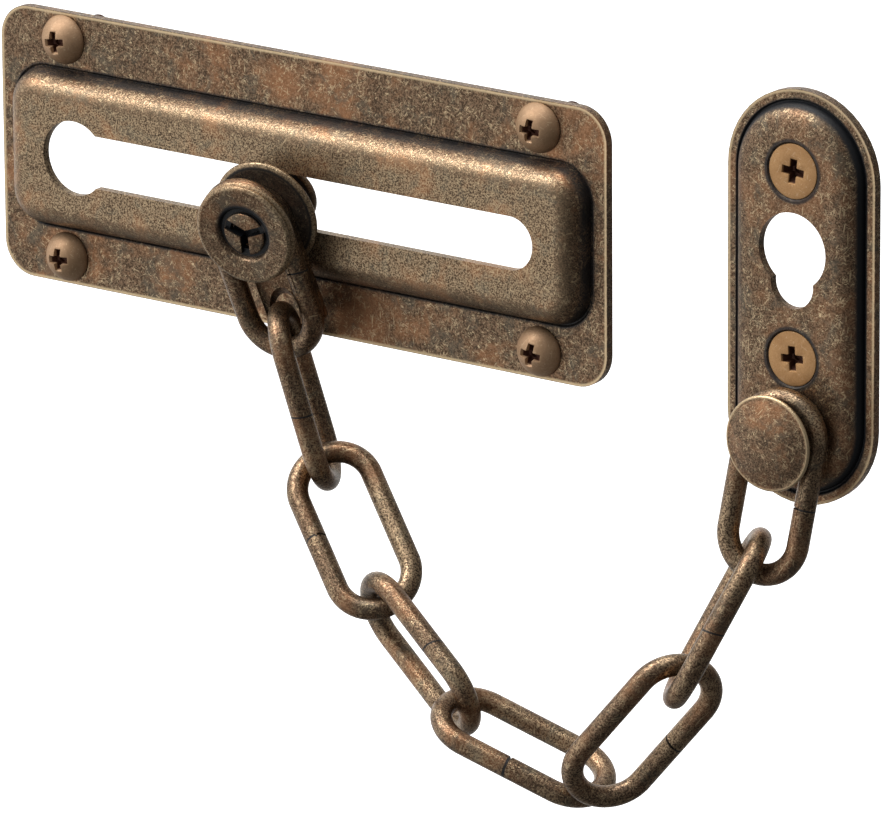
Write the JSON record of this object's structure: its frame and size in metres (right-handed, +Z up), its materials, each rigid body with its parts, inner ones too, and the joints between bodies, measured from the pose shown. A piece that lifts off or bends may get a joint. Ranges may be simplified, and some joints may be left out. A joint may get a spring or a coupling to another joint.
{
  "type": "door chain guard",
  "caption": "Door chain guard: slotted track plate with a sliding rivet, a hanging chain of long welded links, and a keeper plate with a headed stud.",
  "frame": {"origin": "centre of the four track screws, on the back plane of the plates, where they meet the door and its frame", "axes": "+X along the track from the keyhole to the keeper, +Y into the wall, +Z up"},
  "size_m": [0.1349, 0.0293, 0.0935],
  "materials": {
    "antique_plate": "pressed sheet, antiqued brown with rubbed edges",
    "antique_turned": "turned, antiqued brown with bright rims",
    "antique_wire": "bent wire, antiqued brown, welded and tumbled",
    "screw_brass": "satin yellow brown plating",
    "keeper_screw_brass": "satin golden plating"
  },
  "bodies": {
    "plates": {"track_plate": "antique_plate", "track_screw_upper_left": "screw_brass", "track_screw_upper_right": "screw_brass", "track_screw_lower_left": "screw_brass", "track_screw_lower_right": "screw_brass", "keeper_plate": "antique_plate", "keeper_screw_upper": "keeper_screw_brass", "keeper_screw_lower": "keeper_screw_brass", "keeper_stud": "antique_turned"},
    "slider": {"slider_rear_washer": "antique_turned"},
    "slider_rivet": {"slider_rivet": "antique_turned", "slider_front_washer": "antique_turned"},
    "link_1": {"link_1": "antique_wire", "slider_tongue": "antique_plate"},
    "link_2": {"link_2": "antique_wire"},
    "link_3": {"link_3": "antique_wire"},
    "link_4": {"link_4": "antique_wire"},
    "link_5": {"link_5": "antique_wire"},
    "link_6": {"link_6": "antique_wire"},
    "link_7": {"link_7": "antique_wire"},
    "link_8": {"link_8": "antique_wire"}
  },
  "joints": [
    {"name": "slider_slide", "type": "slide", "parent": "plates", "child": "slider", "axis": [1, 0, 0], "range_m": [-0.0316, 0.033]},
    {"name": "rivet_spin", "type": "hinge", "parent": "slider", "child": "slider_rivet", "pos_m": [-0.0012, -0.004, -0.0009], "axis": [0.119, -0.9709, -0.208], "continuous": true},
    {"name": "link_1_hinge", "type": "hinge", "parent": "slider", "child": "link_1", "pos_m": [-0.00046, -0.01002, -0.00219], "axis": [-0.119, 0.9709, 0.208], "range_deg": [-31.4, 32.7]},
    {"name": "link_2_hinge", "type": "hinge", "parent": "link_1", "child": "link_2", "pos_m": [0.001, -0.0048, -0.0189], "axis": [0.3231, -0.8113, -0.4872], "range_deg": [-8.2, 8.5]},
    {"name": "link_3_hinge", "type": "hinge", "parent": "link_2", "child": "link_3", "pos_m": [0.0071, -0.0058, -0.0339], "axis": [-0.2, -0.979, 0.04], "range_deg": [-23.1, 24]},
    {"name": "link_4_hinge", "type": "hinge", "parent": "link_3", "child": "link_4", "pos_m": [0.0215, -0.0123, -0.0464], "axis": [0.9894, 0.1431, 0.026], "range_deg": [-5.1, 5.3]},
    {"name": "link_5_hinge", "type": "hinge", "parent": "link_4", "child": "link_5", "pos_m": [0.0347, -0.0148, -0.0583], "axis": [0.6777, 0.5058, -0.5338], "range_deg": [-6.8, 7]},
    {"name": "link_6_hinge", "type": "hinge", "parent": "link_5", "child": "link_6", "pos_m": [0.054, -0.0146, -0.0661], "axis": [-0.189, -0.9758, -0.11], "range_deg": [-20.9, 21.8]},
    {"name": "link_7_hinge", "type": "hinge", "parent": "link_6", "child": "link_7", "pos_m": [0.0667, -0.01, -0.0484], "axis": [-0.8165, -0.2838, 0.5027], "range_deg": [-2, 2.1]},
    {"name": "link_8_hinge", "type": "hinge", "parent": "link_7", "child": "link_8", "pos_m": [0.0752, -0.0086, -0.0338], "axis": [0.1921, -0.9774, 0.088], "range_deg": [-15.9, 16.6]}
  ],
  "couplings": [
    {"joint": "link_1_hinge", "follows": "slider_slide", "rad_per_m": 17},
    {"joint": "link_2_hinge", "follows": "slider_slide", "rad_per_m": 4.2},
    {"joint": "link_3_hinge", "follows": "slider_slide", "rad_per_m": 12.4},
    {"joint": "link_4_hinge", "follows": "slider_slide", "rad_per_m": 2.5},
    {"joint": "link_5_hinge", "follows": "slider_slide", "rad_per_m": 3.4},
    {"joint": "link_6_hinge", "follows": "slider_slide", "rad_per_m": 11.2},
    {"joint": "link_7_hinge", "follows": "slider_slide", "rad_per_m": 0.8},
    {"joint": "link_8_hinge", "follows": "slider_slide", "rad_per_m": 8.44}
  ]
}
